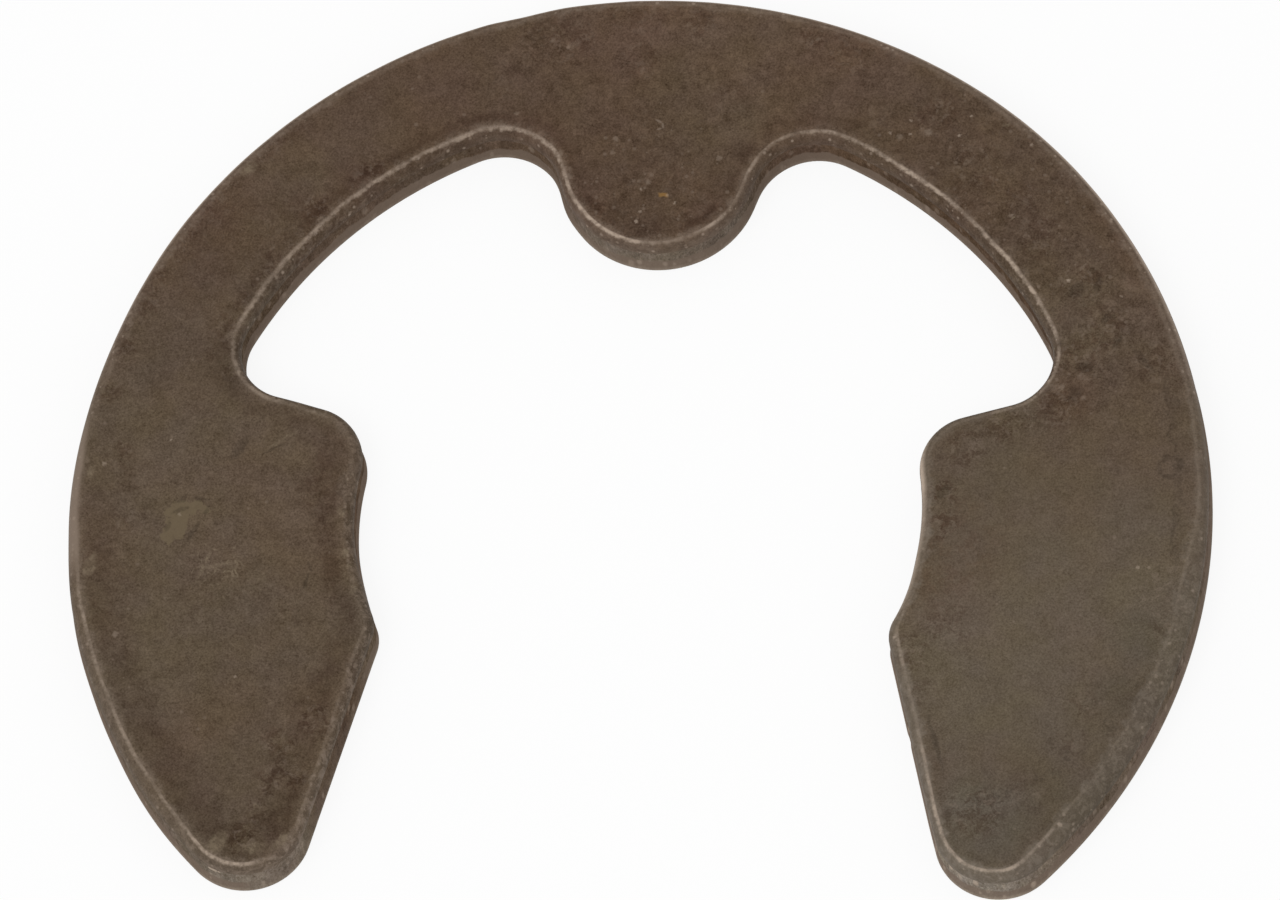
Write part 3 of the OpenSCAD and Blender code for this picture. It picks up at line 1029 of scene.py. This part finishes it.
def sheared_wall(coat, specks):
    """The side of the clip: sheared above and torn at the foot."""
    material, tree, shader, place = start_material("sheared wall")
    x, y, z = put(tree, "ShaderNodeSeparateXYZ", place).outputs
    pale = attribute(tree, "wall_pale")
    shade = spot(tree, place, -6.4, -5.4, 2.3, 0.5, 0.5)
    base = blend(tree, times(tree, pale, less(tree, shade, 0.35)),
                 DARK_WALL, PALE_WALL)
    # Seen from above the wall is short, so its pattern is drawn tall
    tall = vector(tree, "MULTIPLY", place, (1, 1, 0.5))
    body = use(tree, coat, place=tall, base=base, clouds=0.3, mottle=1.8,
               flakes=0.15, grain=1.2)
    # Fine upright lines where the punch burnished the metal
    drawn = vector(tree, "MULTIPLY", place, (1, 1, 0.12))
    lines = minus(tree, cloud(tree, drawn, 12.0, 3.0, 0.6), 0.5)
    crumbs = crumble(tree, tall, 4.5, 0.47, 0.57)
    tone = scaled(tree, body.outputs["Colour"], times(
        tree, plus(tree, 1.0, times(tree, lines, 0.3)),
        less(tree, crumbs, 0.82)))
    # Torn foot of the wall, with a ragged top; the inner flank of the left
    # arm is darker and less torn
    ragged = cloud(tree, vector(tree, "MULTIPLY", place, (1, 1, 0.3)),
                   1.8, 5.0, 0.65)
    torn = step(tree, minus(tree, z, times(tree, ragged, 0.5)), 0.19, 0.12)
    flank = times(tree, step(tree, x, -8.0, -7.4), step(tree, x, -2.0, -4.0),
                  step(tree, y, -3.0, -4.0))
    tone = blend(tree, times(tree, torn, less(tree, flank, 0.25), 0.8),
                 scaled(tree, tone, less(tree, flank, 0.93)), TORN)
    # Crystals, and a few large chips, pale partly as painted glints
    flecks = use(tree, specks, place=tall, cells=5.5, share=0.35, size=0.5)
    tone = blend(tree, times(tree, flecks.outputs[0], step(
        tree, pale, 0.3, 1.0, 0.2, 0.55)), tone, PALE_WEAR_AND_HIGHLIGHT)
    chipped = stirred(tree, place, 9.0, 0.06)
    chips = most(tree, *[spot(tree, chipped, cx, cy, reach, 0.5, cz)
                         for cx, cy, cz, reach in CHIPS])
    tone = blend(tree, times(tree, chips, 0.6), tone, PALE_WEAR_AND_HIGHLIGHT)
    foot = step(tree, plus(tree, z, times(tree, ragged, 0.2)), 0.3, 0.12)
    tone = blend(tree, times(tree, foot, less(tree, crumbs, 0.6), less(
        tree, flank, 0.6), plus(tree, 0.3, times(tree, pale, 0.5))),
        tone, FOOT)
    height = plus(tree, body.outputs["Height"], lines)
    finish(tree, shader, body, tone, height, metal=0.05, gloss=0.0,
           relief=0.5, deep=0.02)
    return material


# ------ studio
# Half the floor's width and its depth below the clip, in metres, and how
# much of its white is its own
FLOOR_REACH, FLOOR_DROP, FLOOR_GLOW = 0.6, 0.00001, 0.88
ROOM_LIGHT = 0.78
# Where the softbox hangs, in metres, its side and its power
LAMP_PLACE, LAMP_SIZE, LAMP_POWER = (-0.06, -0.10, 0.22), 0.16, 0.22
# The camera's turn about the shaft's axis, tilt from straight down and roll,
# in degrees, and its place along its own axes, in millimetres
CAMERA_TURN, CAMERA_TILT, CAMERA_ROLL = 13.48, 26.0, -11.52
CAMERA_PLACE = Vector((-0.023, 1.704, 630.4))
LENS, SENSOR = 851.1, 36


def seen_at_once(tree):
    """Full for rays from the camera, in gloss and through glass."""
    path = put(tree, "ShaderNodeLightPath").outputs
    return most(tree, path["Is Camera Ray"], path["Is Glossy Ray"],
                path["Is Transmission Ray"])


def studio_floor():
    """White floor that keeps a faint shadow."""
    material = bpy.data.materials.new("studio floor")
    material.use_nodes = True
    tree = material.node_tree
    tree.nodes.remove(tree.nodes["Principled BSDF"])
    matt = put(tree, "ShaderNodeBsdfDiffuse", (0.85, 0.85, 0.85, 1)).outputs[0]
    bright = put(tree, "ShaderNodeEmission", (1, 1, 1, 1), 1.0).outputs[0]
    glow = times(tree, seen_at_once(tree), FLOOR_GLOW)
    mixed = put(tree, "ShaderNodeMixShader", glow, matt, bright).outputs[0]
    tree.links.new(mixed, tree.nodes["Material Output"].inputs["Surface"])
    mesh = bpy.data.meshes.new("studio_floor")
    mesh.from_pydata([(x * FLOOR_REACH, y * FLOOR_REACH, -FLOOR_DROP)
                      for x, y in ((-1, -1), (1, -1), (1, 1), (-1, 1))],
                     [], [(0, 1, 2, 3)])
    mesh.materials.append(material)
    return placed("studio_floor", mesh)


def studio_world():
    """Soft light from all round; to the camera and in gloss it is white."""
    world = bpy.data.worlds.new("studio")
    world.use_nodes = True
    tree = world.node_tree
    back = tree.nodes["Background"]
    back.inputs["Color"].default_value = (1, 1, 1, 1)
    tree.links.new(between(tree, seen_at_once(tree), ROOM_LIGHT, 1.0),
                   back.inputs["Strength"])
    scene.world = world


def overhead_softbox():
    """Square lamp that looks at the middle of the clip."""
    lamp = bpy.data.lights.new("overhead softbox", "AREA")
    lamp.size, lamp.energy = LAMP_SIZE, LAMP_POWER
    lit = placed("overhead softbox", lamp)
    lit.location = LAMP_PLACE
    lit.rotation_euler = Vector(LAMP_PLACE).to_track_quat("Z", "Y").to_euler()


def long_lens_camera():
    """Looks down on the clip from the throat side, a little to the right."""
    turn = (Matrix.Rotation(radians(CAMERA_TURN), 4, "Z")
            @ Matrix.Rotation(radians(CAMERA_TILT), 4, "X")
            @ Matrix.Rotation(radians(CAMERA_ROLL), 4, "Z"))
    camera = bpy.data.cameras.new("camera")
    camera.lens, camera.sensor_width = LENS, SENSOR
    camera.clip_start, camera.clip_end = 0.01, 10
    scene.camera = placed("camera", camera)
    scene.camera.matrix_world = turn @ Matrix.Translation(CAMERA_PLACE * MM)


# ------ assembly
long_lens_camera()
studio_world()
overhead_softbox()
studio_floor()
scene.view_settings.view_transform = "Standard"

coat, specks = phosphate_coat(), bright_specks()
clip = stamped_clip(phosphated_face(coat, specks), sheared_wall(coat, specks))
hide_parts("e_clip")
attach(clip, "root")
